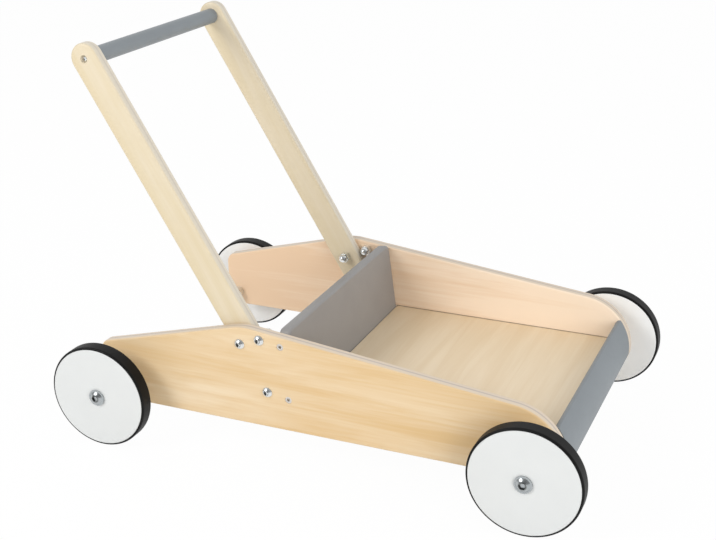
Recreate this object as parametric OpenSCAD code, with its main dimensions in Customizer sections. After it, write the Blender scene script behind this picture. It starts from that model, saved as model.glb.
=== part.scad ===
// Wooden baby push walker: plywood side panels, tray, bolted handle and four rubber-tyred wheels.
// Frame: X forward, Y to the left, Z up. The origin is on the ground, midway between the axles.

/* [Wheels] */
// Diameter over the tyre
wheel_d = 107; // [103:1:112]
// Thickness of the wheel disc
wheel_t = 16; // [14:1:18]
// Distance between the front and rear axles
wheelbase = 440; // [430:1:470]
// Width over the outer faces of the wheels
track_w = 340; // [336:1:350]
// Radial thickness of the rubber tyre over the disc's rim
tyre_wall = 2.2; // [1.8:0.1:2.4]
// Diameter of the axle bolts
axle_d = 8; // [7:0.5:8]

/* [Panels] */
// Thickness of the plywood panels, bars and boards
board_t = 12; // [11:0.5:13]
// Clear width between the side panels
tray_w = 250; // [244:1:252]
// Distance from an axle to the panel's bottom edge
bottom_margin = 15; // [14:0.5:16]
// Distance from the rear axle to the panel's rear edge
rear_margin = 13.5; // [12:0.5:14]
// Height of the rear top edge over the axles, at the rear end
rear_h = 45.5; // [43:0.5:47]
// Height of the peak over the axles
peak_h = 88; // [86:0.5:90]
// Distance of the peak in front of the rear axle
peak_x = 149; // [146:1:152]
// Fall of the front slope, in millimetres for each millimetre forward
front_fall = 0.115; // [0.1:0.005:0.13]
// Distance of the nose in front of the front axle
nose_overhang = 28.7; // [28:0.1:30]
// Radius of the nose
nose_r = 54; // [50:0.5:54]
// Radius of the soft edges of the wood
edge_r = 2; // [1.5:0.5:2.5]

/* [Handle] */
// Lean of the bars from the vertical
bar_lean = 30.8; // [30:0.1:31.5]
// Lean of the bars in the second, upright hole
upright_lean = 7; // [6:0.5:8]
// Width of the bars
bar_w = 30; // [28:0.5:30]
// Distance of the pivot bolt in front of the rear axle
pivot_x = 175; // [174:0.1:176]
// Height of the pivot bolt over the axles
pivot_h = 23; // [22:0.5:24]
// Distance from the pivot bolt to the lock bolt
lock_reach = 54; // [53:0.5:55]
// Distance from the pivot bolt to the grip
grip_reach = 358.4; // [340:0.2:370]
// Diameter of the grip rod
grip_d = 16; // [15:0.5:18]

/* [Tray] */
// Height of the tray floor over the axles
floor_h = 13.5; // [12:0.5:15]
// Thickness of the floor board
floor_t = 5; // [5:0.5:6]
// Distance of the backboard's front face, at the floor, in front of the rear axle
backboard_x = 204.1; // [203.5:0.1:206]
// Lean of the backboard from the vertical
backboard_lean = 7; // [6:0.5:7.5]
// Height of the backboard's top over the axles
backboard_h = 86.5; // [83:0.5:88]
// Thickness of the front rail
rail_t = 16; // [15:0.5:17]
// Height of the rail's top over the axles
rail_top = 35.5; // [34:0.5:36]
// Height of the rail's bottom over the axles
rail_bottom = -3.5; // [-5:0.5:-2]

/* [Hidden] */
$fn = 96;
bolt_d = 6;
screw_d = 4;
hole_gap = 0.4;
fit_gap = 0.05;
run_gap = 0.3;
overcut = 1;

axle_z = wheel_d / 2;
rear_x = -wheelbase / 2;
front_x = wheelbase / 2;
panel_in = tray_w / 2;
panel_out = panel_in + board_t;
bar_in = panel_in - board_t;
wheel_out = track_w / 2;
wheel_in = wheel_out - wheel_t;
nose_x = front_x + nose_overhang;
rail_back = nose_x - rail_t;
bottom_z = axle_z - bottom_margin;
panel_rear = rear_x - rear_margin;
floor_z = axle_z + floor_h;
pivot = [rear_x + pivot_x, axle_z + pivot_h];
lock = pivot + lock_reach * lean_dir(bar_lean);
spare = pivot + lock_reach * lean_dir(upright_lean);
grip = pivot + grip_reach * lean_dir(bar_lean);
rear_axle = [rear_x, axle_z];
front_axle = [front_x, axle_z];
axles = [rear_axle, front_axle];

// Outline of a side panel, clockwise from the rear top corner, with a radius for each corner
rear_corner_r = 11;
peak_r = 60;
front_corner_r = 16;
foot_corner_r = 14;
panel_outline = [
    [panel_rear, axle_z + rear_h],
    [rear_x + peak_x, axle_z + peak_h],
    [nose_x, axle_z + peak_h - front_fall * (nose_x - rear_x - peak_x)],
    [nose_x, bottom_z],
    [panel_rear, bottom_z]
];
panel_radii = [rear_corner_r, peak_r, nose_r, front_corner_r, foot_corner_r];

// Facets round a whole arris of the boards
arris_facets = 12;

// Backboard: depth below the tray floor, rounding, and heights of its screws up the slope
backboard_foot = 9;
backboard_corner_r = 7;
backboard_edge_r = 3;
backboard_screw_rise = [6, 61];
backboard_screw_points = [for (rise = backboard_screw_rise) backboard_point(rise)];

// Screws and bolts
screw_socket = 3;
screw_head_d = 7;
screw_head_h = 2.4;
screw_sink = 0.4;
screw_l = 36;
grip_bore_d = 7.6;
grip_bore_depth = 3.6;
grip_head_d = 5.4;
grip_head_h = 2;
grip_socket_depth = 1.2;
grip_screw_l = 32;
button_d = 10.5;
button_h = 3.3;
button_socket = 4;
head_lip = 0.4;
flange_d = 17;
flange_t = 1.2;
dome_d = 14;
dome_h = 4.4;
dome_socket = 6;
socket_depth = 2.2;
cap_nut_h = 12;
cap_nut_af = 10;
axle_nut_h = 15;
axle_nut_af = 13;
nut_hex_share = 0.5;
nut_dome_share = 0.92;
nut_thread_depth = 9;
bolt_end_gap = 1;

// Wheel parts
bush_d = 12;
spacer_d = 14;
washer_d = 16;
washer_t = 1.2;
tyre_w = 15;
tyre_rib_w = 10;
tyre_seat = 2;
tyre_lip = 0.2;
shoulder_r = tyre_wall - tyre_lip;
rim_chamfer = 0.6;
rim_r = wheel_d / 2 - tyre_wall;
spacer_l = wheel_in - run_gap - washer_t - panel_out;

// Bars, grip, rail and floor
bar_edge_r = 2.5;
grip_socket = 4;
rail_screw_h = 3;
rail_screw = [rail_back + rail_t / 2, axle_z + rail_screw_h];
rail_edge_r = 4.5;
rail_foot_r = 3;
floor_back_gap = 0.9;

// Groove in the panels and rail: the floor's tongue slides in, and a shadow line stays open over the floor
tongue_t = 3;
groove_depth = 4;
groove_gap = 0.1;
shadow_line = 0.6;
groove_z = floor_z - floor_t - groove_gap;
groove_h = groove_gap + floor_t + shadow_line;

wood = "burlywood";
grey = "slategray";
steel = "silver";

// Point on the backboard's middle plane, at a height up its slope from the floor
function backboard_point(rise) = [rear_x + backboard_x, floor_z]
    - board_t / 2 * [cos(backboard_lean), sin(backboard_lean)]
    + rise * lean_dir(backboard_lean);
// Direction in the XZ plane of something that leans back by an angle
function lean_dir(angle) = [-sin(angle), cos(angle)];
function unit(v) = v / norm(v);
function turn_left(v) = [-v[1], v[0]];
function next_of(list, i) = list[(i + 1) % len(list)];
function prev_of(list, i) = list[(i + len(list) - 1) % len(list)];

// Rounded corners of a clockwise outline: half the turn, the arc's centre and its two ends
function way_in(pts, i) = unit(pts[i] - prev_of(pts, i));
function way_out(pts, i) = unit(next_of(pts, i) - pts[i]);
function half_turn(pts, i) = acos(max(-1, min(1, way_in(pts, i) * way_out(pts, i)))) / 2;
function arc_start(pts, radii, i) = pts[i] - way_in(pts, i) * radii[i] * tan(half_turn(pts, i));
function arc_end(pts, radii, i) = pts[i] + way_out(pts, i) * radii[i] * tan(half_turn(pts, i));
function arc_centre(pts, radii, i) = arc_start(pts, radii, i) - turn_left(way_in(pts, i)) * radii[i];

// Flat outline with every corner rounded
module rounded_outline(pts, radii) {
    difference() {
        polygon(pts);
        for (i = [0 : len(pts) - 1]) {
            centre = arc_centre(pts, radii, i);
            difference() {
                polygon([
                    centre,
                    arc_start(pts, radii, i) + turn_left(way_in(pts, i)) * overcut,
                    pts[i] + unit(pts[i] - centre) * 2 * overcut,
                    arc_end(pts, radii, i) + turn_left(way_out(pts, i)) * overcut
                ]);
                translate(centre) circle(radii[i]);
            }
        }
    }
}

// Section of a board's edge: the outer side is at x = 0, with both arrises rounded
module edge_section(depth, t, r, facets) {
    intersection() {
        translate([-depth, 0]) square([depth, t]);
        union() {
            translate([-depth, 0]) square([depth - r, t]);
            translate([-r, r]) square([r, t - 2 * r]);
            for (y = [r, t - r]) translate([-r, y]) circle(r, $fn = facets);
        }
    }
}

// Board of thickness t over a convex rounded outline, with soft edges all the way round
module soft_board(pts, radii, t, r) {
    hull() for (i = [0 : len(pts) - 1]) {
        way = way_out(pts, i);
        translate(arc_centre(pts, radii, i))
            rotate(atan2(way[1], way[0]) + 90)
                rotate_extrude(angle = 2 * half_turn(pts, i))
                    translate([radii[i], 0]) edge_section(radii[i], t, r, arris_facets);
    }
}

// Straight bar with soft edges and half-round ends, from the origin along +Y
module soft_bar(length, w, t, r) {
    module half_section() {
        translate([w / 2, 0]) edge_section(w / 2, t, r, $fn);
    }
    for (side = [0, 1]) {
        mirror([side, 0, 0])
            translate([0, length, 0])
                rotate([90, 0, 0])
                    linear_extrude(length) half_section();
    }
    rotate(180) rotate_extrude(angle = 180) half_section();
    translate([0, length, 0]) rotate_extrude(angle = 180) half_section();
}

// Puts a flat drawing of X and Z into the left half, with its thickness running inwards from y
module stand_at(y) {
    translate([0, y, 0]) rotate([90, 0, 0]) children();
}

// Puts something drawn along +Z on an axle or bolt line, pointing out of the left side
module on_line(at, y) {
    translate([at[0], y, at[1]]) rotate([-90, 0, 0]) children();
}

// Draws the left half's children on one side: 1 is left, -1 is right
module on_side(side) {
    mirror([0, side < 0 ? 1 : 0, 0]) children();
}

module both_sides() {
    for (side = [1, -1]) on_side(side) children();
}

// Frame of the leaning backboard: its front face is at x = 0, the floor line at z = 0
module on_backboard() {
    translate([rear_x + backboard_x, 0, floor_z]) rotate([0, -backboard_lean, 0]) children();
}

// Low dome with an upright lip, from z = 0
module dome(d, h, lip) {
    rise = h - lip;
    sphere_r = (d * d / 4 + rise * rise) / (2 * rise);
    rotate_extrude() intersection() {
        square([d / 2, h]);
        translate([0, h - sphere_r]) circle(sphere_r);
    }
}

module hexagon(af, h) {
    cylinder(d = af / cos(30), h = h, $fn = 6);
}

// Hole for a countersunk screw, drilled downwards from the face at z = 0
module countersunk_hole(depth) {
    translate([0, 0, -depth]) cylinder(d = screw_d + 2 * fit_gap, h = depth + overcut);
    translate([0, 0, -screw_sink - screw_head_h])
        cylinder(d1 = screw_d + 2 * fit_gap, d2 = screw_head_d + 2 * fit_gap, h = screw_head_h);
    translate([0, 0, -screw_sink]) cylinder(d = screw_head_d + 2 * fit_gap, h = screw_sink + overcut);
}

// Countersunk screw with a hex socket, pointing down, its head sunk a little below the face at z = 0
module countersunk_screw(length) {
    translate([0, 0, -screw_sink]) difference() {
        union() {
            translate([0, 0, -length]) cylinder(d = screw_d, h = length);
            translate([0, 0, -screw_head_h]) cylinder(d1 = screw_d, d2 = screw_head_d, h = screw_head_h);
        }
        translate([0, 0, -socket_depth]) hexagon(screw_socket, socket_depth + overcut);
    }
}

// Hole for a round-headed screw sunk in a wider bore, drilled downwards from the face at z = 0
module counterbore(depth) {
    translate([0, 0, -depth]) cylinder(d = screw_d + 2 * fit_gap, h = depth);
    translate([0, 0, -grip_bore_depth]) cylinder(d = grip_bore_d, h = grip_bore_depth + overcut);
}

// Round-headed screw with a hex socket, its head on the bottom of the bore
module sunk_screw(length) {
    translate([0, 0, -grip_bore_depth]) difference() {
        union() {
            dome(grip_head_d, grip_head_h, head_lip);
            translate([0, 0, -length]) cylinder(d = screw_d, h = length + head_lip);
        }
        translate([0, 0, grip_head_h - grip_socket_depth]) hexagon(screw_socket, grip_socket_depth + overcut);
    }
}

// Button-head bolt: the head stands on z = 0 and the shank points down
module button_bolt(length) {
    difference() {
        union() {
            dome(button_d, button_h, head_lip);
            translate([0, 0, -length]) cylinder(d = bolt_d, h = length + head_lip);
        }
        translate([0, 0, button_h - socket_depth]) hexagon(button_socket, socket_depth + overcut);
    }
}

// Cap nut: its hexagon stands on z = 0, its dome points down, and its blind thread opens at z = 0
module cap_nut(af, h, d) {
    hex_h = h * nut_hex_share;
    dome_r = af * nut_dome_share / 2;
    difference() {
        union() {
            translate([0, 0, -hex_h]) hexagon(af, hex_h);
            translate([0, 0, dome_r - h]) sphere(dome_r);
            translate([0, 0, dome_r - h]) cylinder(r = dome_r, h = h - dome_r - hex_h / 2);
        }
        translate([0, 0, -nut_thread_depth]) cylinder(d = d + 2 * fit_gap, h = nut_thread_depth + overcut);
    }
}

// One side panel, drawn on the left
module side_panel() {
    color(wood) difference() {
        stand_at(panel_out) soft_board(panel_outline, panel_radii, board_t, edge_r);
        for (at = [pivot, lock, spare])
            on_line(at, panel_in - overcut) cylinder(d = bolt_d + hole_gap, h = board_t + 2 * overcut);
        for (at = axles)
            on_line(at, panel_in - overcut) cylinder(d = axle_d + hole_gap, h = board_t + 2 * overcut);
        for (at = concat([rail_screw], backboard_screw_points))
            on_line(at, panel_out) countersunk_hole(board_t + overcut);
        translate([rear_x + backboard_x, panel_in - overcut, groove_z])
            cube([rail_back + groove_depth - rear_x - backboard_x, groove_depth + overcut, groove_h]);
    }
}

// One handle bar, drawn on the left, leaning back from its pivot bolt
module handle_bar() {
    color(wood) difference() {
        translate([pivot[0], panel_in, pivot[1]])
            rotate([0, -bar_lean, 0])
                rotate([90, 0, 0]) soft_bar(grip_reach, bar_w, board_t, bar_edge_r);
        for (at = [pivot, lock])
            on_line(at, bar_in - overcut) cylinder(d = bolt_d + hole_gap, h = board_t + 2 * overcut);
        on_line(grip, bar_in - overcut) cylinder(d = grip_d + 2 * fit_gap, h = grip_socket + overcut);
        on_line(grip, panel_in) counterbore(board_t);
    }
}

module handle_grip() {
    color(grey) difference() {
        on_line(grip, -bar_in - grip_socket) cylinder(d = grip_d, h = 2 * (bar_in + grip_socket));
        both_sides() on_line(grip, panel_in) screw_bore();
    }
}

// Pilot bore that a screw cuts in the piece it holds, from the outer face at z = 0
module screw_bore() {
    translate([0, 0, -screw_l - 2 * screw_sink])
        cylinder(d = screw_d + 2 * fit_gap, h = screw_l + 2 * overcut);
}

module grip_screws() {
    color(steel) both_sides() on_line(grip, panel_in) sunk_screw(grip_screw_l);
}

// Backboard: drawn with X across and Y up its slope
module backboard() {
    half_w = tray_w / 2;
    low = -backboard_foot / cos(backboard_lean);
    high = (backboard_h - floor_h) / cos(backboard_lean);
    outline = [[-half_w, high], [half_w, high], [half_w, low], [-half_w, low]];
    color(grey) difference() {
        on_backboard()
            translate([-board_t, 0, 0])
                rotate([90, 0, 90])
                    soft_board(outline, [for (p = outline) backboard_corner_r], board_t, backboard_edge_r);
        for (at = backboard_screw_points)
            both_sides() on_line(at, panel_out) screw_bore();
    }
}

module backboard_screws() {
    color(steel) both_sides() for (at = backboard_screw_points)
        on_line(at, panel_out) countersunk_screw(screw_l);
}

// Floor of the tray: a thin board whose lower part runs into the grooves as a tongue, at its sides and front
module floor_board() {
    back = rear_x + backboard_x + floor_back_gap;
    let_in = groove_depth - groove_gap;
    color(wood) {
        translate([back, -panel_in + groove_gap, floor_z - floor_t])
            cube([rail_back - groove_gap - back, tray_w - 2 * groove_gap, floor_t]);
        translate([back, -panel_in - let_in, floor_z - floor_t])
            cube([rail_back + let_in - back, tray_w + 2 * let_in, tongue_t]);
    }
}

// Rail across the front: its face follows the nose of the panels
module front_rail() {
    nose_centre = arc_centre(panel_outline, panel_radii, 2);
    low = axle_z + rail_bottom;
    high = axle_z + rail_top;
    outline = [[rail_back, high], [nose_x, high], [nose_x, low], [rail_back, low]];
    color(grey) difference() {
        stand_at(panel_in) linear_extrude(tray_w) intersection() {
            rounded_outline(outline, [rail_edge_r, rail_edge_r, rail_foot_r, rail_edge_r]);
            translate(nose_centre) circle(nose_r);
        }
        translate([rail_back - overcut, -panel_in - overcut, groove_z])
            cube([groove_depth + overcut, tray_w + 2 * overcut, groove_h]);
        both_sides() on_line(rail_screw, panel_out) screw_bore();
    }
}

module front_rail_screws() {
    color(steel) both_sides() on_line(rail_screw, panel_out) countersunk_screw(screw_l);
}

// Handle bolts: heads on the outer faces, cap nuts on the inner ones
module handle_bolts(at, grip_l) {
    length = grip_l + nut_thread_depth - bolt_end_gap;
    color(steel) both_sides() on_line(at, panel_out) button_bolt(length);
}

module handle_nuts(at, y) {
    color(steel) both_sides() on_line(at, y) cap_nut(cap_nut_af, cap_nut_h, bolt_d);
}

// Wheel disc: revolved about its axle, with a groove round the rim for the tyre
module wheel_disc(at, side) {
    groove_low = (wheel_t - tyre_rib_w) / 2;
    color("white") on_side(side) on_line(at, wheel_in) rotate_extrude() difference() {
        translate([bush_d / 2, 0]) square([rim_r - bush_d / 2, wheel_t]);
        translate([rim_r - tyre_seat, groove_low]) square([tyre_seat + overcut, tyre_rib_w]);
        for (z = [0, wheel_t])
            translate([rim_r, z]) rotate(45) square(rim_chamfer * sqrt(2), center = true);
    }
}

// Tyre: a band over the rim with round shoulders, and a rib that sits in the rim's groove
module tyre(at, side) {
    low = (wheel_t - tyre_w) / 2;
    rib_low = (wheel_t - tyre_rib_w) / 2;
    color("dimgray") on_side(side) on_line(at, wheel_in) rotate_extrude() {
        difference() {
            translate([rim_r, low]) square([tyre_wall, tyre_w]);
            for (z = [0, 1]) translate([rim_r, low + z * tyre_w]) mirror([0, z]) difference() {
                translate([tyre_wall - shoulder_r, -overcut]) square(shoulder_r + overcut);
                translate([tyre_wall - shoulder_r, shoulder_r]) circle(shoulder_r);
            }
        }
        translate([rim_r - tyre_seat, rib_low]) square([tyre_seat + tyre_wall / 2, tyre_rib_w]);
    }
}

// Hub bush: the plastic bearing in the wheel's bore
module hub_bush(at, side) {
    color("ivory") on_side(side) on_line(at, wheel_in) difference() {
        cylinder(d = bush_d, h = wheel_t);
        translate([0, 0, -overcut]) cylinder(d = axle_d + 2 * fit_gap, h = wheel_t + 2 * overcut);
    }
}

// Axle bolt: a flanged dome head outside the wheel, and a plain shank through wheel, spacer and panel
module axle_bolt(at, side) {
    length = wheel_out + run_gap - panel_in + nut_thread_depth - bolt_end_gap;
    color(steel) on_side(side) on_line(at, wheel_out + run_gap) difference() {
        union() {
            cylinder(d = flange_d, h = flange_t);
            dome(dome_d, dome_h, flange_t);
            translate([0, 0, -length]) cylinder(d = axle_d, h = length + flange_t);
        }
        translate([0, 0, dome_h - socket_depth]) hexagon(dome_socket, socket_depth + overcut);
    }
}

module axle_nut(at, side) {
    color(steel) on_side(side) on_line(at, panel_in) cap_nut(axle_nut_af, axle_nut_h, axle_d);
}

// Spacer sleeve between the panel and the wheel's washer
module spacer(at, side) {
    color("gainsboro") on_side(side) on_line(at, panel_out) difference() {
        cylinder(d = spacer_d, h = spacer_l);
        translate([0, 0, -overcut]) cylinder(d = axle_d + 2 * fit_gap, h = spacer_l + 2 * overcut);
    }
}

module washer(at, side) {
    color(steel) on_side(side) on_line(at, panel_out + spacer_l) difference() {
        cylinder(d = washer_d, h = washer_t);
        translate([0, 0, -overcut]) cylinder(d = axle_d + 2 * fit_gap, h = washer_t + 2 * overcut);
    }
}

on_side(-1) side_panel();  // right_side_panel
on_side(1) side_panel();  // left_side_panel
on_side(-1) handle_bar();  // right_handle_bar
on_side(1) handle_bar();  // left_handle_bar
handle_grip();
grip_screws();
backboard();
backboard_screws();
floor_board();
front_rail();
front_rail_screws();
handle_bolts(lock, 2 * board_t);  // handle_lock_bolts
handle_nuts(lock, bar_in);  // handle_lock_nuts
handle_bolts(pivot, 2 * board_t);  // handle_pivot_bolts
handle_nuts(pivot, bar_in);  // handle_pivot_nuts
handle_bolts(spare, board_t);  // handle_spare_bolts
handle_nuts(spare, panel_in);  // handle_spare_nuts
wheel_disc(rear_axle, -1);  // rear_right_wheel_disc
tyre(rear_axle, -1);  // rear_right_tyre
hub_bush(rear_axle, -1);  // rear_right_hub_bush
axle_bolt(rear_axle, -1);  // rear_right_axle_bolt
axle_nut(rear_axle, -1);  // rear_right_axle_nut
spacer(rear_axle, -1);  // rear_right_spacer
washer(rear_axle, -1);  // rear_right_washer
wheel_disc(rear_axle, 1);  // rear_left_wheel_disc
tyre(rear_axle, 1);  // rear_left_tyre
hub_bush(rear_axle, 1);  // rear_left_hub_bush
axle_bolt(rear_axle, 1);  // rear_left_axle_bolt
axle_nut(rear_axle, 1);  // rear_left_axle_nut
spacer(rear_axle, 1);  // rear_left_spacer
washer(rear_axle, 1);  // rear_left_washer
wheel_disc(front_axle, -1);  // front_right_wheel_disc
tyre(front_axle, -1);  // front_right_tyre
hub_bush(front_axle, -1);  // front_right_hub_bush
axle_bolt(front_axle, -1);  // front_right_axle_bolt
axle_nut(front_axle, -1);  // front_right_axle_nut
spacer(front_axle, -1);  // front_right_spacer
washer(front_axle, -1);  // front_right_washer
wheel_disc(front_axle, 1);  // front_left_wheel_disc
tyre(front_axle, 1);  // front_left_tyre
hub_bush(front_axle, 1);  // front_left_hub_bush
axle_bolt(front_axle, 1);  // front_left_axle_bolt
axle_nut(front_axle, 1);  // front_left_axle_nut
spacer(front_axle, 1);  // front_left_spacer
washer(front_axle, 1);  // front_left_washer
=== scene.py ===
"""Finish and studio for a wooden push walker: birch plywood, grey and white paint, rubber and zinc.

Laid out as an add-on and run as a script. The packed model is loaded as a fixed frame, its nodes get
their materials, and the boards that need smooth edges are drawn again over their own solids.
"""

import math

import bmesh
import bpy
from mathutils import Matrix, Vector


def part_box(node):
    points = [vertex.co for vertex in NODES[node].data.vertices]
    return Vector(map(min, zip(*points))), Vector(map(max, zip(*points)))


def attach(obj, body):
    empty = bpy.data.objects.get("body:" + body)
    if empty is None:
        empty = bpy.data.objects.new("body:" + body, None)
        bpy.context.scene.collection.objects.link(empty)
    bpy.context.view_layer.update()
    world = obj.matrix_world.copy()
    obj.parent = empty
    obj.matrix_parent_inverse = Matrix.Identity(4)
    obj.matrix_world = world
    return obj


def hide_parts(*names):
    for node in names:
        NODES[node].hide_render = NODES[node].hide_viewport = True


bl_info = {
    "name": "Push Walker Finish",
    "version": (1, 0, 0),
    "blender": (4, 5, 0),
    "location": "3D View > Sidebar > Walker",
    "description": "Gives a wooden push walker its materials and a plain studio",
    "category": "Object",
}

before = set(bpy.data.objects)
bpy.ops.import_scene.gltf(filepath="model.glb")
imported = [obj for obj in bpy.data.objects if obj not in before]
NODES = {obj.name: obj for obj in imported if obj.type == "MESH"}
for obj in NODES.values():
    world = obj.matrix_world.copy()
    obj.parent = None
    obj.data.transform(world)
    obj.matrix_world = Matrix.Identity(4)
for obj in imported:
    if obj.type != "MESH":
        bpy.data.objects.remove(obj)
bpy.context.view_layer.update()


def middle(node):
    """Middle of a node's box at rest."""
    low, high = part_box(node)
    return (low + high) / 2


MM = 0.001
ENDS = ("rear", "front")
SIDES = ("right", "left")
HANDLE_BOLTS = ("handle_lock_bolts", "handle_pivot_bolts", "handle_spare_bolts")
HANDLE_NUTS = ("handle_lock_nuts", "handle_pivot_nuts", "handle_spare_nuts")
PANEL_SCREWS = ("backboard_screws", "front_rail_screws")

# The bars lean back from the pivot bolts to the grip, so their grain does too.
PIVOT = middle("handle_pivot_bolts")
GRIP = middle("handle_grip")
BAR_LEAN = math.atan2(PIVOT.x - GRIP.x, GRIP.z - PIVOT.z)
QUARTER_TURN = math.radians(90)

# Inner faces of the panels and bars, measured from the middle of the walker; both are equally thick.
PANEL_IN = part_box("left_side_panel")[0].y
BAR_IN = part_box("left_handle_bar")[0].y
BOARD_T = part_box("left_side_panel")[1].y - PANEL_IN

# A faceted board is welded, loses the edges between facets in one plane, and keeps its sharp edges.
WELD = 0.002 * MM
FLAT = math.radians(0.5)
SHARP = math.radians(40)

# Size of the faint patches in each finish
PAINT_CLOUD = 45 * MM
DISC_CLOUD = 30 * MM
RUBBER_BLOOM = 18 * MM
PLASTIC_FLOW = 6 * MM
ZINC_CLOUD = 2.5 * MM

# Width across the flats of the hexagon sockets
BUTTON_SOCKET = 4 * MM
AXLE_SOCKET = 6 * MM

# Roughness of fresh zinc, and of the countersunk screws, which have dulled
BRIGHT_ZINC = 0.26
DULL_ZINC = 0.55

# What is seen of the floor is this share of pure white; the rest is lit paper, which holds the shadow.
FLOOR_WHITE = 0.97
# Half the side of the floor
FLOOR_REACH = 30.0
# Point in the walker that the lamps face
LAMPS_AIM = Vector((0.0, 0.0, 0.15))
# Width of the camera's sensor in millimetres
SENSOR = 36.0


def linear(code):
    """Linear RGBA of an sRGB hex colour."""
    channels = [int(code[i:i + 2], 16) / 255 for i in (1, 3, 5)]
    return [c / 12.92 if c <= 0.04045 else ((c + 0.055) / 1.055) ** 2.4 for c in channels] + [1.0]


WHITE = linear("#ffffff")


def shade(colour, share):
    """A darker or lighter shade of a linear colour."""
    return [min(1.0, c * share) for c in colour[:3]] + [1.0]


def colour_prop(name, description, code):
    """A colour that a user would change."""
    return bpy.props.FloatVectorProperty(
        name=name, description=description, subtype="COLOR", size=4, min=0.0, max=1.0, default=linear(code))


def length_prop(name, description, millimetres):
    """A length that a user would change, held in metres."""
    return bpy.props.FloatProperty(
        name=name, description=description, default=millimetres * MM, min=0.0, unit="LENGTH", precision=4)


def place_prop(name, description, metres):
    """A place that a user would change."""
    return bpy.props.FloatVectorProperty(
        name=name, description=description, subtype="TRANSLATION", unit="LENGTH", default=metres)


def angle_prop(name, description, degrees):
    """An angle that a user would change, held in radians."""
    return bpy.props.FloatProperty(
        name=name, description=description, subtype="ANGLE", default=math.radians(degrees))


def strength_prop(name, description, strength, subtype="NONE"):
    """A strength of light that a user would change."""
    return bpy.props.FloatProperty(
        name=name, description=description, subtype=subtype, default=strength, min=0.0)


class WalkerWood(bpy.types.PropertyGroup):
    """Plywood of the panels, bars and tray floor."""

    pale: colour_prop("Pale veneer", "Early wood of the near panel", "#e9d3b1")
    warm: colour_prop("Warm veneer", "Late wood of the near panel", "#dab884")
    # The far panel has its own paler veneer: partly a different sheet and partly painted light on the inner
    # face that the tray shades.
    far_pale: colour_prop("Pale far veneer", "Early wood of the far panel", "#feead3")
    far_warm: colour_prop("Warm far veneer", "Late wood of the far panel", "#efcfad")
    bar_pale: colour_prop("Pale bar veneer", "Early wood of the handle bars", "#e0d3ba")
    bar_warm: colour_prop("Warm bar veneer", "Late wood of the handle bars", "#d8c8a6")
    floor_pale: colour_prop("Pale floor veneer", "Early wood of the tray floor", "#efddbf")
    floor_warm: colour_prop("Warm floor veneer", "Late wood of the tray floor", "#e6d0ad")
    ply: colour_prop("Plies", "Edge of the outer plies of a panel", "#ddcdb8")
    core: colour_prop("Core", "Edge of the core ply of a panel", "#c3b6ab")
    bar_ply: colour_prop("Bar plies", "Edge of the outer plies of a bar", "#dfd6c4")
    bar_core: colour_prop("Bar core", "Edge of the core ply of a bar", "#d3cabc")
    figure: length_prop("Figure", "Width of the soft bands of the veneer", 22)
    figure_run: length_prop("Figure run", "Length over which a band changes", 260)
    streak: length_prop("Streak", "Width of the fine streaks", 2.2)
    streak_run: length_prop("Streak run", "Length of the fine streaks", 85)


class WalkerPaint(bpy.types.PropertyGroup):
    """Paint of the grey pieces and of the wheels."""

    grey: colour_prop("Grey", "Paint of the rail", "#7f868b")
    grip_grey: colour_prop("Grip grey", "Paint of the grip", "#848b90")
    board_grey: colour_prop("Board grey", "Paint of the backboard", "#969493")
    white: colour_prop("White", "Paint of the right wheel discs", "#dee0df")
    # The left discs take a paler copy of the same white: painted light, for the light that the panel keeps
    # off them.
    left_lit_white: colour_prop("Left white", "Paint of the left wheel discs", "#f4f5f4")
    peel: length_prop("Orange peel", "Spacing of the roller's stipple", 1.6)
    turning: length_prop("Turning", "Spacing of the rings that the lathe left under the white paint", 1.4)


class WalkerHardware(bpy.types.PropertyGroup):
    """Rubber, plastic and zinc."""

    rubber: colour_prop("Rubber", "Tyres", "#121212")
    zinc: colour_prop("Zinc", "Handle bolts, nuts, washers and grip screws", "#eaebe9")
    # The axle bolts take a darker copy of the zinc: painted shade for the darker surroundings that their
    # heads reflect.
    axle: colour_prop("Axle zinc", "Axle bolts", "#b6b9b9")
    screw: colour_prop("Screws", "Countersunk screws", "#e6e0d8")
    plastic: colour_prop("Plastic", "Spacers and hub bushes", "#dfe0dc")
    stipple: length_prop("Stipple", "Grain of the moulded rubber", 0.9)


class WalkerStage(bpy.types.PropertyGroup):
    """Camera, floor and light."""

    camera: place_prop("Camera", "Place of the camera", (0.4669, -1.0718, 0.6224))
    azimuth: angle_prop("Azimuth", "Turn of the camera round the walker", 23.89)
    elevation: angle_prop("Elevation", "Height of the camera over the horizon", 21.63)
    roll: angle_prop("Roll", "Tilt of the camera", -1.08)
    lens: bpy.props.FloatProperty(
        name="Lens", description="Focal length on a 36 mm wide sensor", unit="CAMERA", default=62.16, min=1.0)
    floor: colour_prop("Floor", "Paper of the floor", "#fafafa")
    sweep: strength_prop("Sweep", "Light from the white sweep behind the walker", 1.0)
    room: strength_prop("Room", "Light from the room behind the camera", 0.15)
    key: strength_prop("Key", "Power of the main soft light", 35.0, "POWER")
    key_size: length_prop("Key size", "Side of the main softbox", 1100)
    key_place: place_prop("Key place", "Place of the main softbox", (-1.4, -1.9, 1.6))
    fill: strength_prop("Fill", "Power of the soft light from the other side", 31.0, "POWER")
    fill_size: length_prop("Fill size", "Side of the other softbox", 1600)
    fill_place: place_prop("Fill place", "Place of the other softbox", (2.0, -1.5, 1.0))


# Colour sockets of a Mix node
MIX_A, MIX_B, MIXED = 6, 7, 2


def add(tree, kind, sockets=None, **settings):
    """Adds a node with its settings; a socket gets a value or a link."""
    node = tree.nodes.new(kind)
    for name, value in settings.items():
        setattr(node, name, value)
    for key, value in (sockets or {}).items():
        if isinstance(value, bpy.types.NodeSocket):
            tree.links.new(value, node.inputs[key])
        else:
            node.inputs[key].default_value = value
    return node


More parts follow.
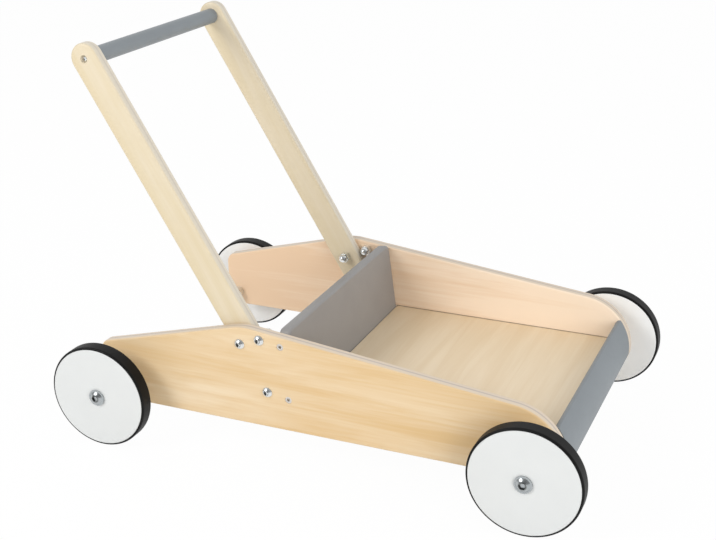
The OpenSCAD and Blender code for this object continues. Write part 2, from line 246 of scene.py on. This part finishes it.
def new_material(name):
    """An empty node material and its tree."""
    material = bpy.data.materials.new(name)
    material.use_nodes = True
    material.node_tree.nodes.clear()
    return material, material.node_tree


def dress(names, material):
    """Puts a material on CAD nodes."""
    for name in names:
        slots = NODES[name].data.materials
        slots.clear()
        slots.append(material)


def veneer(tree, place, wood, shades, turn, drift):
    """Colour of rotary-cut veneer and its fine streaks, which run along X after the turn. The streaks are
    broader than the pores of birch, which are too fine to show."""
    grain = add(tree, "ShaderNodeMapping", {"Vector": place, "Rotation": turn}).outputs["Vector"]
    broad = add(tree, "ShaderNodeMapping", {
        "Vector": grain, "Scale": (1 / wood.figure_run, 1 / wood.figure, 1 / wood.figure)})
    figure = add(tree, "ShaderNodeTexNoise", {
        "Vector": broad.outputs["Vector"], "Scale": 1.0, "Detail": 4.0, "Roughness": 0.6, "Distortion": 0.9})
    bands = add(tree, "ShaderNodeMapRange", {
        "Value": figure.outputs["Fac"], "From Min": 0.28, "From Max": 0.72, "To Max": 0.8},
        interpolation_type="SMOOTHSTEP")
    narrow = add(tree, "ShaderNodeMapping", {
        "Vector": grain, "Scale": (1 / wood.streak_run, 1 / wood.streak, 1 / wood.streak)})
    streaks = add(tree, "ShaderNodeTexNoise", {
        "Vector": narrow.outputs["Vector"], "Scale": 1.0, "Detail": 4.0, "Roughness": 0.6}).outputs["Fac"]
    fine = add(tree, "ShaderNodeMapRange", {
        "Value": streaks, "From Min": 0.35, "From Max": 0.75, "To Max": 0.25})
    tone = add(tree, "ShaderNodeMath", {
        0: bands.outputs["Result"], 1: fine.outputs["Result"]}, operation="ADD")
    # The tone shifts steadily along the grain by the drift, so one end of a board is paler than the other.
    along = add(tree, "ShaderNodeSeparateXYZ", {"Vector": grain})
    tone = add(tree, "ShaderNodeMath", {
        0: along.outputs["X"], 1: -drift, 2: tone.outputs["Value"]}, operation="MULTIPLY_ADD", use_clamp=True)
    pale, warm = shades
    colour = add(tree, "ShaderNodeMix", {
        "Factor": tone.outputs["Value"], MIX_A: pale, MIX_B: warm}, data_type="RGBA")
    return colour.outputs[MIXED], streaks


def ply_edges(tree, place, board, edges, face):
    """Colour of a board: its face, and on its edges pale plies and a core. A board is the axis through its
    thickness, the distance of its inner face along that axis, which is the same on both sides of the
    walker, and its thickness."""
    axis, inside, thickness = board
    through = add(tree, "ShaderNodeSeparateXYZ", {"Vector": place})
    through = add(tree, "ShaderNodeMath", {0: through.outputs[axis]}, operation="ABSOLUTE")
    # Depth is 0 on the inner face and 1 on the outer one.
    depth = add(tree, "ShaderNodeMapRange", {
        "Value": through.outputs["Value"], "From Min": inside, "From Max": inside + thickness})
    off_middle = add(tree, "ShaderNodeMath", {0: depth.outputs["Result"], 1: 0.5}, operation="SUBTRACT")
    off_middle = add(tree, "ShaderNodeMath", {0: off_middle.outputs["Value"]}, operation="ABSOLUTE")
    in_core = add(tree, "ShaderNodeMapRange", {
        "Value": off_middle.outputs["Value"], "From Min": 0.12, "From Max": 0.05})
    outer, core = edges
    plies = add(tree, "ShaderNodeMix", {
        "Factor": in_core.outputs["Result"], MIX_A: outer, MIX_B: core}, data_type="RGBA")
    on_edge = add(tree, "ShaderNodeMapRange", {
        "Value": off_middle.outputs["Value"], "From Min": 0.46, "From Max": 0.36})
    colour = add(tree, "ShaderNodeMix", {
        "Factor": on_edge.outputs["Result"], MIX_A: face, MIX_B: plies.outputs[MIXED]}, data_type="RGBA")
    return colour.outputs[MIXED]


def plywood(name, wood, shades, edges, board, turn=(0.0, 0.0, 0.0), drift=0.0, lacquer=0.12):
    """Rotary-cut birch plywood, sanded and lacquered: soft bands and fine streaks along the grain on
    the faces, pale plies and a darker core on the edges, and a satin film over both."""
    material, tree = new_material(name)
    place = add(tree, "ShaderNodeTexCoord").outputs["Object"]
    face, streaks = veneer(tree, place, wood, shades, turn, drift)
    relief = add(tree, "ShaderNodeBump", {"Height": streaks, "Strength": 0.06, "Distance": 0.3 * MM})
    gloss = add(tree, "ShaderNodeMapRange", {"Value": streaks, "To Min": 0.42, "To Max": 0.52})
    shader = add(tree, "ShaderNodeBsdfPrincipled", {
        "Base Color": ply_edges(tree, place, board, edges, face),
        "Normal": relief.outputs["Normal"],
        "Roughness": gloss.outputs["Result"],
        "IOR": 1.5,
        "Coat Weight": lacquer,
        "Coat Roughness": 0.28})
    add(tree, "ShaderNodeOutputMaterial", {"Surface": shader.outputs["BSDF"]})
    return material


def rolled_paint(name, colour, peel, roughness):
    """Satin enamel rolled on sealed wood: an even colour with a faint cloudiness and orange peel."""
    material, tree = new_material(name)
    place = add(tree, "ShaderNodeTexCoord").outputs["Object"]
    cloud = add(tree, "ShaderNodeTexNoise", {
        "Vector": place, "Scale": 1 / PAINT_CLOUD, "Detail": 3.0, "Roughness": 0.6})
    tint = add(tree, "ShaderNodeMix", {
        "Factor": cloud.outputs["Fac"], MIX_A: shade(colour, 0.90), MIX_B: shade(colour, 1.08)},
        data_type="RGBA")
    stipple = add(tree, "ShaderNodeTexNoise", {
        "Vector": place, "Scale": 1 / peel, "Detail": 2.0, "Roughness": 0.5}).outputs["Fac"]
    relief = add(tree, "ShaderNodeBump", {"Height": stipple, "Strength": 0.10, "Distance": 0.2 * MM})
    gloss = add(tree, "ShaderNodeMapRange", {
        "Value": stipple, "To Min": roughness - 0.05, "To Max": roughness + 0.07})
    shader = add(tree, "ShaderNodeBsdfPrincipled", {
        "Base Color": tint.outputs[MIXED],
        "Normal": relief.outputs["Normal"],
        "Roughness": gloss.outputs["Result"],
        "IOR": 1.5})
    add(tree, "ShaderNodeOutputMaterial", {"Surface": shader.outputs["BSDF"]})
    return material


def turned_white(name, colour, axle, spacing):
    """White enamel on a turned disc: the lathe's rings show faintly through the satin film. They are drawn
    coarser than a lathe's fine feed, so that they show."""
    material, tree = new_material(name)
    place = add(tree, "ShaderNodeTexCoord").outputs["Object"]
    centred = add(tree, "ShaderNodeMapping", {"Vector": place, "Location": (-axle.x, 0.0, -axle.z)})
    # A wave's rings repeat every pi / 10 of its own units.
    rings = add(tree, "ShaderNodeTexWave", {
        "Vector": centred.outputs["Vector"], "Scale": math.pi / (10 * spacing), "Distortion": 1.2,
        "Detail": 2.0, "Detail Scale": 1.0}, wave_type="RINGS", rings_direction="Y")
    cloud = add(tree, "ShaderNodeTexNoise", {
        "Vector": place, "Scale": 1 / DISC_CLOUD, "Detail": 3.0}).outputs["Fac"]
    tint = add(tree, "ShaderNodeMix", {
        "Factor": cloud, MIX_A: shade(colour, 0.95), MIX_B: colour}, data_type="RGBA")
    relief = add(tree, "ShaderNodeBump", {
        "Height": rings.outputs["Fac"], "Strength": 0.04, "Distance": 0.1 * MM})
    gloss = add(tree, "ShaderNodeMapRange", {"Value": cloud, "To Min": 0.36, "To Max": 0.48})
    shader = add(tree, "ShaderNodeBsdfPrincipled", {
        "Base Color": tint.outputs[MIXED],
        "Normal": relief.outputs["Normal"],
        "Roughness": gloss.outputs["Result"]})
    add(tree, "ShaderNodeOutputMaterial", {"Surface": shader.outputs["BSDF"]})
    return material


def moulded_rubber(name, colour, stipple):
    """Black moulded rubber: deep grey, matt, with a grain that softens its highlights. The grain is drawn
    coarser than the mould's, so that it shows."""
    material, tree = new_material(name)
    place = add(tree, "ShaderNodeTexCoord").outputs["Object"]
    grain = add(tree, "ShaderNodeTexNoise", {
        "Vector": place, "Scale": 1 / stipple, "Detail": 3.0, "Roughness": 0.6}).outputs["Fac"]
    bloom = add(tree, "ShaderNodeTexNoise", {"Vector": place, "Scale": 1 / RUBBER_BLOOM, "Detail": 2.0})
    tint = add(tree, "ShaderNodeMix", {
        "Factor": bloom.outputs["Fac"], MIX_A: colour, MIX_B: shade(colour, 1.8)}, data_type="RGBA")
    relief = add(tree, "ShaderNodeBump", {"Height": grain, "Strength": 0.25, "Distance": 0.2 * MM})
    gloss = add(tree, "ShaderNodeMapRange", {"Value": grain, "To Min": 0.40, "To Max": 0.56})
    shader = add(tree, "ShaderNodeBsdfPrincipled", {
        "Base Color": tint.outputs[MIXED],
        "Normal": relief.outputs["Normal"],
        "Roughness": gloss.outputs["Result"],
        "IOR": 1.52,
        "Specular IOR Level": 0.12})
    add(tree, "ShaderNodeOutputMaterial", {"Surface": shader.outputs["BSDF"]})
    return material


def painted_socket_shade(tree, place, axis, socket):
    """A ring round a bolt's axis over the walls of its hexagon socket, which masks the painted socket shade.
    """
    # Distance from the axis, 1 on the flats of the socket and 1.15 in its corners
    scale = 2 / socket
    flat = add(tree, "ShaderNodeMapping", {
        "Vector": place, "Location": (-axis.x * scale, 0.0, -axis.z * scale), "Scale": (scale, 0.0, scale)})
    away = add(tree, "ShaderNodeVectorMath", {0: flat.outputs["Vector"]}, operation="LENGTH").outputs["Value"]
    within = add(tree, "ShaderNodeMapRange", {"Value": away, "From Min": 1.45, "From Max": 1.2})
    ring = add(tree, "ShaderNodeMapRange", {
        "Value": away, "From Min": 0.5, "From Max": 0.9, "To Max": within.outputs["Result"]})
    return ring.outputs["Result"]


def zinc_plate(name, colour, roughness, axis=None, socket=None):
    """Zinc plate on cold-headed steel: clear reflections, broken by faint cloudy passivation. A bolt with
    an axis gets a dark ring of painted shade over the walls of its socket."""
    material, tree = new_material(name)
    place = add(tree, "ShaderNodeTexCoord").outputs["Object"]
    cloud = add(tree, "ShaderNodeTexNoise", {
        "Vector": place, "Scale": 1 / ZINC_CLOUD, "Detail": 3.0, "Roughness": 0.6}).outputs["Fac"]
    bluish = [colour[0] * 0.90, colour[1] * 0.94, colour[2] * 0.99, 1.0]
    tint = add(tree, "ShaderNodeMix", {
        "Factor": cloud, MIX_A: bluish, MIX_B: colour}, data_type="RGBA")
    # Painted shade: the walls of the socket are darkened in the colour, for the shade that falls into the
    # recess.
    if axis is not None:
        tint = add(tree, "ShaderNodeMix", {
            "Factor": painted_socket_shade(tree, place, axis, socket),
            MIX_A: tint.outputs[MIXED], MIX_B: shade(colour, 0.38)}, data_type="RGBA")
    gloss = add(tree, "ShaderNodeMapRange", {
        "Value": cloud, "To Min": roughness - 0.06, "To Max": roughness + 0.08})
    shader = add(tree, "ShaderNodeBsdfPrincipled", {
        "Base Color": tint.outputs[MIXED],
        "Roughness": gloss.outputs["Result"],
        "Metallic": 1.0})
    add(tree, "ShaderNodeOutputMaterial", {"Surface": shader.outputs["BSDF"]})
    return material


def moulded_plastic(name, colour):
    """Moulded white polyamide: slightly milky, satin, with a faint flow pattern."""
    material, tree = new_material(name)
    place = add(tree, "ShaderNodeTexCoord").outputs["Object"]
    flow = add(tree, "ShaderNodeTexNoise", {
        "Vector": place, "Scale": 1 / PLASTIC_FLOW, "Detail": 2.0}).outputs["Fac"]
    tint = add(tree, "ShaderNodeMix", {
        "Factor": flow, MIX_A: shade(colour, 0.93), MIX_B: colour}, data_type="RGBA")
    gloss = add(tree, "ShaderNodeMapRange", {"Value": flow, "To Min": 0.34, "To Max": 0.46})
    shader = add(tree, "ShaderNodeBsdfPrincipled", {
        "Base Color": tint.outputs[MIXED],
        "Roughness": gloss.outputs["Result"]})
    add(tree, "ShaderNodeOutputMaterial", {"Surface": shader.outputs["BSDF"]})
    return material


def smooth_board(node, material):
    """Draws a board again over its own solid, with its small facets shaded as one round edge."""
    mesh = bpy.data.meshes.new(node + "_board")
    shape = bmesh.new()
    shape.from_mesh(NODES[node].data)
    bmesh.ops.remove_doubles(shape, verts=shape.verts, dist=WELD)
    bmesh.ops.dissolve_limit(shape, angle_limit=FLAT, verts=shape.verts, edges=shape.edges)
    shape.to_mesh(mesh)
    shape.free()
    mesh.shade_smooth()
    mesh.set_sharp_from_angle(angle=SHARP)
    mesh.materials.append(material)
    board = bpy.data.objects.new(node + "_board", mesh)
    bpy.context.scene.collection.objects.link(board)
    weighted = board.modifiers.new("Flat faces stay flat", "WEIGHTED_NORMAL")
    weighted.keep_sharp = True
    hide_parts(node)
    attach(board, "frame")


class WALKER_OT_side_panels(bpy.types.Operator):
    """Draw the side panels with soft edges in lacquered plywood"""

    bl_idname = "walker.side_panels"
    bl_label = "Side Panels"

    def execute(self, context):
        wood = context.scene.walker_wood
        board = ("Y", PANEL_IN, BOARD_T)
        edges = (wood.ply, wood.core)
        near = plywood("birch_plywood_near", wood, (wood.pale, wood.warm), edges, board, drift=-1.2)
        # The far panel's paler veneer is partly its own wood and partly painted light for its shaded inner
        # face.
        far = plywood("birch_plywood_far", wood, (wood.far_pale, wood.far_warm), edges, board, drift=3.2)
        smooth_board("right_side_panel", near)
        smooth_board("left_side_panel", far)
        return {"FINISHED"}


class WALKER_OT_handle(bpy.types.Operator):
    """Finish the handle bars in plywood with the grain along them, and the grip in grey"""

    bl_idname = "walker.handle"
    bl_label = "Handle"

    def execute(self, context):
        wood, paint = context.scene.walker_wood, context.scene.walker_paint
        along_bar = (0.0, BAR_LEAN + QUARTER_TURN, 0.0)
        bars = plywood(
            "birch_plywood_bars", wood, (wood.bar_pale, wood.bar_warm), (wood.bar_ply, wood.bar_core),
            ("Y", BAR_IN, BOARD_T), turn=along_bar)
        dress([side + "_handle_bar" for side in SIDES], bars)
        grey = rolled_paint("grey_enamel_grip", paint.grip_grey, paint.peel, roughness=0.42)
        dress(["handle_grip"], grey)
        return {"FINISHED"}


class WALKER_OT_tray(bpy.types.Operator):
    """Finish the tray: plywood floor, grey backboard and grey front rail"""

    bl_idname = "walker.tray"
    bl_label = "Tray"

    def execute(self, context):
        wood, paint = context.scene.walker_wood, context.scene.walker_paint
        low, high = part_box("floor_board")
        across_tray = (0.0, 0.0, QUARTER_TURN)
        floor = plywood(
            "birch_plywood_floor", wood, (wood.floor_pale, wood.floor_warm), (wood.ply, wood.core),
            ("Z", low.z, high.z - low.z), turn=across_tray, lacquer=0.35)
        dress(["floor_board"], floor)
        board_grey = rolled_paint("grey_enamel_board", paint.board_grey, paint.peel, roughness=0.48)
        smooth_board("backboard", board_grey)
        rail_grey = rolled_paint("grey_enamel_rail", paint.grey, paint.peel, roughness=0.45)
        dress(["front_rail"], rail_grey)
        return {"FINISHED"}


class WALKER_OT_wheels(bpy.types.Operator):
    """Finish the wheels: white discs, black tyres, and plastic bushes and spacers"""

    bl_idname = "walker.wheels"
    bl_label = "Wheels"

    def execute(self, context):
        paint, hardware = context.scene.walker_paint, context.scene.walker_hardware
        rubber = moulded_rubber("black_rubber_moulded", hardware.rubber, hardware.stipple)
        plastic = moulded_plastic("white_polyamide_moulded", hardware.plastic)
        for end in ENDS:
            axle = middle(end + "_left_wheel_disc")
            # The left discs get the paler copy of the white, which is painted light for what the panel
            # shades.
            for side, white in zip(SIDES, (paint.white, paint.left_lit_white)):
                corner = end + "_" + side
                enamel = turned_white("white_enamel_" + corner, white, axle, paint.turning)
                dress([corner + "_wheel_disc"], enamel)
                dress([corner + "_tyre"], rubber)
                dress([corner + "_hub_bush", corner + "_spacer"], plastic)
        return {"FINISHED"}


class WALKER_OT_hardware(bpy.types.Operator):
    """Finish the bolts, nuts and washers in bright zinc, and the countersunk screws in dull zinc"""

    bl_idname = "walker.hardware"
    bl_label = "Hardware"

    def execute(self, context):
        hardware = context.scene.walker_hardware
        bright = zinc_plate("bright_zinc_plate", hardware.zinc, BRIGHT_ZINC)
        dress(HANDLE_NUTS, bright)
        dress(["grip_screws"], bright)
        dress(PANEL_SCREWS, zinc_plate("dull_zinc_plate", hardware.screw, DULL_ZINC))
        for bolts in HANDLE_BOLTS:
            self.dress_bolts([bolts], hardware.zinc, BUTTON_SOCKET)
        for end in ENDS:
            corners = [end + "_" + side for side in SIDES]
            # Axle bolts get the darker zinc, painted shade for the dimmer surroundings that their heads
            # reflect.
            self.dress_bolts([corner + "_axle_bolt" for corner in corners], hardware.axle, AXLE_SOCKET)
            for corner in corners:
                dress([corner + "_axle_nut", corner + "_washer"], bright)
        return {"FINISHED"}

    def dress_bolts(self, names, colour, socket):
        """Bolts on one axis share a plate with painted shade over their sockets."""
        axis = middle(names[0])
        dress(names, zinc_plate("zinc_plate_" + names[0], colour, BRIGHT_ZINC, axis, socket))


class WALKER_OT_stage(bpy.types.Operator):
    """Set the floor, the soft light and the camera"""

    bl_idname = "walker.stage"
    bl_label = "Stage"

    def execute(self, context):
        scene = context.scene
        stage = scene.walker_stage
        self.light_world(scene, stage)
        self.lay_floor(scene, stage)
        self.hang_lamp(scene, "key_softbox", stage.key, stage.key_size, stage.key_place)
        fill = self.hang_lamp(scene, "fill_softbox", stage.fill, stage.fill_size, stage.fill_place)
        # Metal mirrors only the key, so that each bolt has one bright spot.
        fill.visible_glossy = False
        self.place_camera(scene, stage)
        scene.view_settings.view_transform = "Standard"
        return {"FINISHED"}

    def eye_rays(self, tree):
        """Rays that come straight from the camera, and those that come by way of metal or glass."""
        path = add(tree, "ShaderNodeLightPath")
        mirrored = add(tree, "ShaderNodeMath", {
            0: path.outputs["Is Glossy Ray"], 1: path.outputs["Is Transmission Ray"]}, operation="MAXIMUM")
        return path.outputs["Is Camera Ray"], mirrored.outputs["Value"]

    def light_world(self, scene, stage):
        """A white sweep behind the walker and a dimmer room behind the camera, which darkens the sides of
        the bolt heads; the camera itself sees pure white."""
        world = bpy.data.worlds.new("studio_world")
        world.use_nodes = True
        tree = world.node_tree
        tree.nodes.clear()
        direction = add(tree, "ShaderNodeTexCoord").outputs["Generated"]
        across = add(tree, "ShaderNodeSeparateXYZ", {"Vector": direction}).outputs["Y"]
        level = add(tree, "ShaderNodeMapRange", {
            "Value": across, "From Min": -1.0, "From Max": 1.0, "To Min": stage.room, "To Max": stage.sweep})
        soft = add(tree, "ShaderNodeBackground", {"Color": WHITE, "Strength": level.outputs["Result"]})
        white = add(tree, "ShaderNodeBackground", {"Color": WHITE, "Strength": 1.0})
        # Metal mirrors the same white where it faces the sweep.
        camera, mirrored = self.eye_rays(tree)
        behind = add(tree, "ShaderNodeMapRange", {"Value": across, "From Min": 0.2, "From Max": 0.5})
        sweep = add(tree, "ShaderNodeMath", {0: mirrored, 1: behind.outputs["Result"]}, operation="MULTIPLY")
        seen = add(tree, "ShaderNodeMath", {0: camera, 1: sweep.outputs["Value"]}, operation="MAXIMUM")
        both = add(tree, "ShaderNodeMixShader", {
            0: seen.outputs["Value"], 1: soft.outputs["Background"], 2: white.outputs["Background"]})
        add(tree, "ShaderNodeOutputWorld", {"Surface": both.outputs["Shader"]})
        # Its light is even enough to be met by chance, which leaves the search for light to the lamps.
        world.cycles.sampling_method = "NONE"
        scene.world = world

    def lay_floor(self, scene, stage):
        """A wide floor of white paper that keeps a faint shadow of the walker."""
        mesh = bpy.data.meshes.new("studio_floor")
        shape = bmesh.new()
        bmesh.ops.create_grid(shape, x_segments=1, y_segments=1, size=FLOOR_REACH)
        shape.to_mesh(mesh)
        shape.free()
        floor = bpy.data.objects.new("studio_floor", mesh)
        scene.collection.objects.link(floor)
        material, tree = new_material("white_paper_floor")
        camera, mirrored = self.eye_rays(tree)
        paper = add(tree, "ShaderNodeBsdfDiffuse", {"Color": stage.floor})
        white = add(tree, "ShaderNodeEmission", {"Color": WHITE, "Strength": 1.0})
        seen = add(tree, "ShaderNodeMath", {0: camera, 1: mirrored}, operation="MAXIMUM")
        shown = add(tree, "ShaderNodeMath", {0: seen.outputs["Value"], 1: FLOOR_WHITE}, operation="MULTIPLY")
        both = add(tree, "ShaderNodeMixShader", {
            0: shown.outputs["Value"], 1: paper.outputs["BSDF"], 2: white.outputs["Emission"]})
        add(tree, "ShaderNodeOutputMaterial", {"Surface": both.outputs["Shader"]})
        # The white is only for the eye and for reflections, so no light is looked for on the floor.
        material.cycles.emission_sampling = "NONE"
        mesh.materials.append(material)

    def hang_lamp(self, scene, name, power, size, place):
        """A square softbox that faces the middle of the walker."""
        lamp = bpy.data.lights.new(name, "AREA")
        lamp.energy = power
        lamp.size = size
        box = bpy.data.objects.new(name, lamp)
        scene.collection.objects.link(box)
        box.location = place
        box.rotation_euler = (LAMPS_AIM - place).to_track_quat("-Z", "Y").to_euler()
        return box

    def place_camera(self, scene, stage):
        """The photographer's place, direction and lens."""
        lens = bpy.data.cameras.new("camera")
        lens.sensor_fit = "HORIZONTAL"
        lens.sensor_width = SENSOR
        lens.lens = stage.lens
        azimuth, elevation = stage.azimuth, stage.elevation
        level = math.cos(elevation)
        back = Vector((math.sin(azimuth) * level, -math.cos(azimuth) * level, math.sin(elevation)))
        right = Vector((math.cos(azimuth), math.sin(azimuth), 0.0))
        up = back.cross(right)
        turn = Matrix((right, up, back)).transposed() @ Matrix.Rotation(stage.roll, 3, "Z")
        camera = bpy.data.objects.new("camera", lens)
        scene.collection.objects.link(camera)
        camera.matrix_world = Matrix.Translation(stage.camera) @ turn.to_4x4()
        scene.camera = camera


class WALKER_PT_sidebar(bpy.types.Panel):
    """Lists the walker's settings and steps"""

    bl_idname = "WALKER_PT_sidebar"
    bl_label = "Push Walker"
    bl_space_type = "VIEW_3D"
    bl_region_type = "UI"
    bl_category = "Walker"

    def draw(self, context):
        layout = self.layout
        for name, group in GROUPS.items():
            box = layout.box()
            box.label(text=group.__doc__)
            for prop in group.__annotations__:
                box.prop(getattr(context.scene, name), prop)
        for operator in OPERATORS:
            layout.operator(operator.bl_idname)


GROUPS = {
    "walker_wood": WalkerWood,
    "walker_paint": WalkerPaint,
    "walker_hardware": WalkerHardware,
    "walker_stage": WalkerStage,
}
OPERATORS = (
    WALKER_OT_side_panels, WALKER_OT_handle, WALKER_OT_tray,
    WALKER_OT_wheels, WALKER_OT_hardware, WALKER_OT_stage,
)


def register():
    for name, group in GROUPS.items():
        bpy.utils.register_class(group)
        setattr(bpy.types.Scene, name, bpy.props.PointerProperty(type=group))
    for operator in OPERATORS:
        bpy.utils.register_class(operator)
    bpy.utils.register_class(WALKER_PT_sidebar)


def unregister():
    bpy.utils.unregister_class(WALKER_PT_sidebar)
    for operator in reversed(OPERATORS):
        bpy.utils.unregister_class(operator)
    for name, group in reversed(GROUPS.items()):
        delattr(bpy.types.Scene, name)
        bpy.utils.unregister_class(group)


def main():
    """Dresses the walker and sets the stage."""
    register()
    bpy.ops.walker.side_panels()
    bpy.ops.walker.handle()
    bpy.ops.walker.tray()
    bpy.ops.walker.wheels()
    bpy.ops.walker.hardware()
    bpy.ops.walker.stage()


if __name__ == "__main__":
    main()
